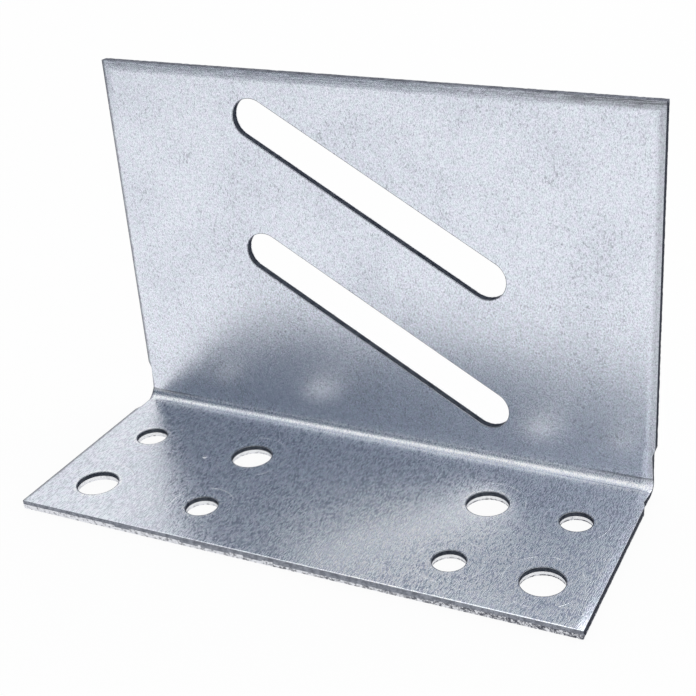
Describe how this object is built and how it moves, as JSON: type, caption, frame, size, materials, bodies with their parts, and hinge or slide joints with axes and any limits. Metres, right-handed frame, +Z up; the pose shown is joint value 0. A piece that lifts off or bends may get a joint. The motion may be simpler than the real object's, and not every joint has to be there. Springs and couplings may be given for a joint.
{
  "type": "drywall connection angle",
  "caption": "Folded steel angle with round fixing holes in its base and slanted adjusting slots in its upright.",
  "frame": {"origin": "centre of the footprint, at the underside of the base", "axes": "+X along the fold, +Y towards the upright's back face, +Z up the upright"},
  "size_m": [0.12, 0.049, 0.0817],
  "materials": {
    "galvanised_steel": "hot-dip galvanised, satin, with fine scratches and bare sheared edges"
  },
  "bodies": {
    "root": {"angle_sheet": "galvanised_steel"}
  },
  "joints": []
}
